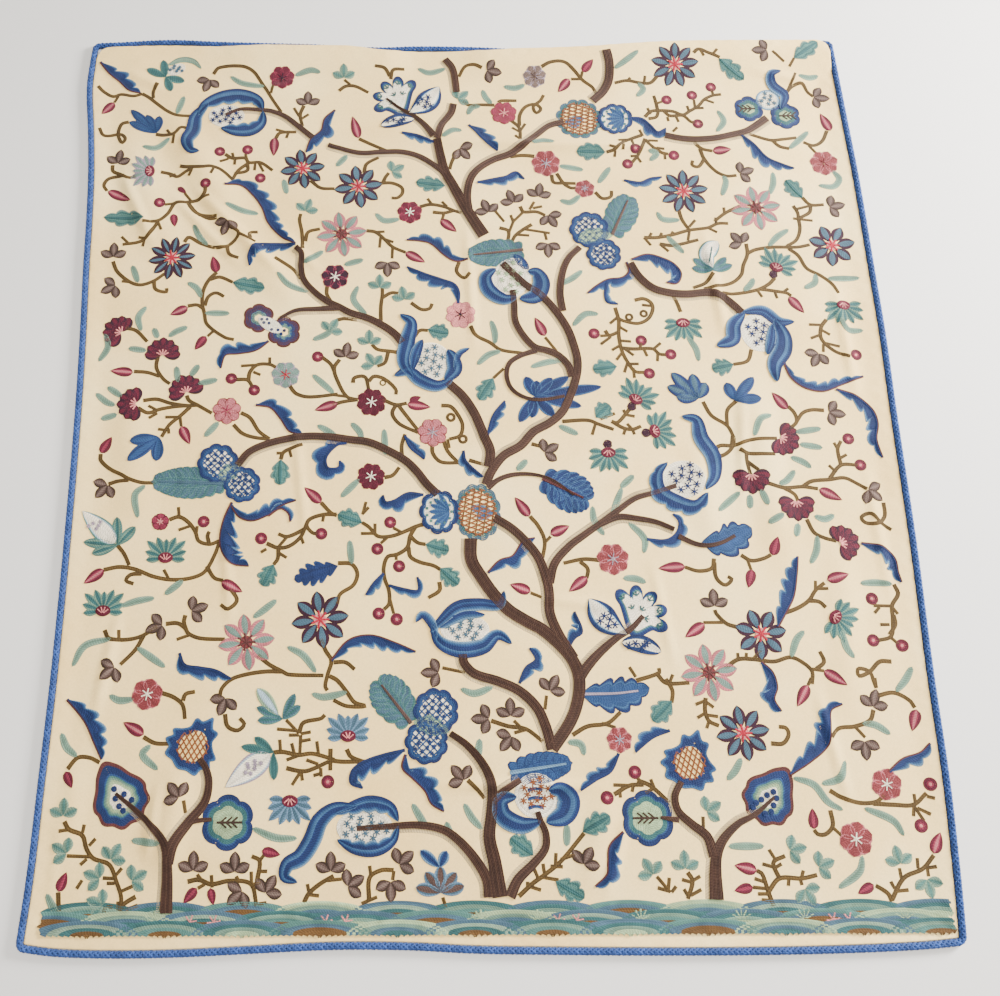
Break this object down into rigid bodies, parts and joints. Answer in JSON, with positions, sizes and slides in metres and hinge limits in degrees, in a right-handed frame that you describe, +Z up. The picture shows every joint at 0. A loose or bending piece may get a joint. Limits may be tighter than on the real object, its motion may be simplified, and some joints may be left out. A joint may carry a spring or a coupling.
{
  "type": "embroidered panel",
  "caption": "Cream cloth panel with a wool crewel tree-of-life design, edged all round with a plaited blue cord, lying face up and flat.",
  "frame": {"origin": "middle of the lying panel, on the surface it rests on", "axes": "+X across the panel to the right, +Y from the bottom hem to the top hem, +Z up off the embroidered face"},
  "size_m": [1.534, 1.7236, 0.015],
  "materials": {
    "twill_cloth": "matt cotton and linen twill, wool embroidered",
    "blue_cord": "plaited cotton cord, soft sheen"
  },
  "bodies": {
    "root": {"panel_cloth": "twill_cloth", "edge_cord": "blue_cord"}
  },
  "joints": []
}
